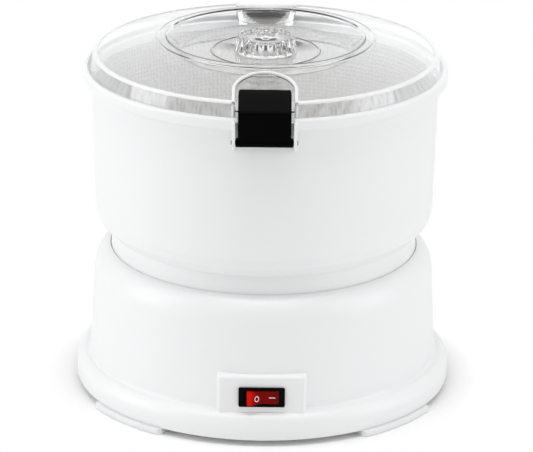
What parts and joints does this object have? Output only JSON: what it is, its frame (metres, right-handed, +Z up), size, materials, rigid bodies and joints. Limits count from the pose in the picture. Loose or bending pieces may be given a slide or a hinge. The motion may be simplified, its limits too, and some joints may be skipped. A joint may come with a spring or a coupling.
{
  "type": "electric potato peeler",
  "caption": "Round white countertop potato peeler: moulded base with rocker switch, drum with spinning abrasive disc, clear domed lid, fluted cap and two black latches.",
  "frame": {"origin": "on the plane that the feet stand on, on the axis of the drum", "axes": "+Z up, -Y towards the switch at the front, +X to the right seen from the front"},
  "size_m": [0.2704, 0.2704, 0.258],
  "materials": {
    "white_abs": "glossy moulded white plastic",
    "foot_plastic": "satin white plastic",
    "liner_grit": "fine light grey grit",
    "dark_steel": "dark steel pin",
    "black_plastic": "gloss black",
    "brass_blades": "plain",
    "red_rocker": "translucent red",
    "black_rubber": "matt",
    "cast_alloy": "cast",
    "bearing_steel": "ground",
    "zinc_steel": "zinc plated",
    "laminations": "stacked sheet",
    "copper_wire": "enamelled wire",
    "grey_nylon": "moulded",
    "belt_rubber": "ground rubber",
    "disc_plastic": "moulded",
    "disc_grit": "coarse grit",
    "clear_lid": "clear moulded plastic"
  },
  "bodies": {
    "base": {"base_housing": "white_abs", "bottom_cover": "white_abs", "foot_front_left": "foot_plastic", "foot_front_right": "foot_plastic", "foot_rear_left": "foot_plastic", "foot_rear_right": "foot_plastic", "drum": "white_abs", "drum_foot": "white_abs", "wall_liner": "liner_grit", "latch_pins": "dark_steel", "switch_bezel": "black_plastic", "switch_terminals": "brass_blades", "cord_gland": "black_rubber", "bearing_housing": "cast_alloy", "upper_bearing": "bearing_steel", "lower_bearing": "bearing_steel", "shaft_seal": "black_rubber", "drum_gasket": "black_rubber", "motor_plate": "zinc_steel", "stator": "laminations", "windings": "copper_wire", "motor_bracket_lower": "cast_alloy", "motor_bracket_upper": "cast_alloy", "cover_screws": "zinc_steel", "drum_screws": "zinc_steel", "bearing_screws": "zinc_steel", "plate_screws": "zinc_steel", "motor_bolts": "zinc_steel", "drive_belt": "belt_rubber"},
    "spindle": {"spindle": "bearing_steel", "driven_pulley": "grey_nylon", "spindle_nut": "zinc_steel"},
    "motor_rotor": {"motor_shaft": "bearing_steel", "rotor": "laminations", "motor_pulley": "grey_nylon", "cooling_fan": "grey_nylon"},
    "disc": {"peeling_disc": "disc_plastic", "disc_abrasive": "disc_grit"},
    "lid": {"lid": "clear_lid"},
    "filler_cap": {"filler_cap": "clear_lid"},
    "latch_front": {"latch_front": "black_plastic"},
    "latch_rear": {"latch_rear": "black_plastic"},
    "rocker": {"rocker": "red_rocker"}
  },
  "joints": [
    {"name": "spindle_spin", "type": "hinge", "parent": "base", "child": "spindle", "pos_m": [0, 0, 0.05], "axis": [0, 0, 1], "continuous": true},
    {"name": "motor_spin", "type": "hinge", "parent": "base", "child": "motor_rotor", "pos_m": [0, 0.072, 0.05], "axis": [0, 0, 1], "continuous": true},
    {"name": "disc_lift", "type": "slide", "parent": "spindle", "child": "disc", "axis": [0, 0, 1], "range_m": [0, 0.078]},
    {"name": "lid_lift", "type": "slide", "parent": "base", "child": "lid", "axis": [0, 0, 1], "range_m": [0, 0.12]},
    {"name": "cap_twist", "type": "hinge", "parent": "lid", "child": "filler_cap", "pos_m": [0, 0, 0.25], "axis": [0, 0, 1], "range_deg": [0, 45]},
    {"name": "latch_front_swing", "type": "hinge", "parent": "base", "child": "latch_front", "pos_m": [0, -0.1287, 0.22048], "axis": [1, 0, 0], "range_deg": [0, 115]},
    {"name": "latch_rear_swing", "type": "hinge", "parent": "base", "child": "latch_rear", "pos_m": [0, 0.1287, 0.22048], "axis": [-1, 0, 0], "range_deg": [0, 115]},
    {"name": "rocker_tip", "type": "hinge", "parent": "base", "child": "rocker", "pos_m": [0, -0.125, 0.0345], "axis": [0, 0, -1], "range_deg": [0, 20]}
  ],
  "couplings": [
    {"joint": "motor_spin", "follows": "spindle_spin", "ratio": 5.3498}
  ]
}
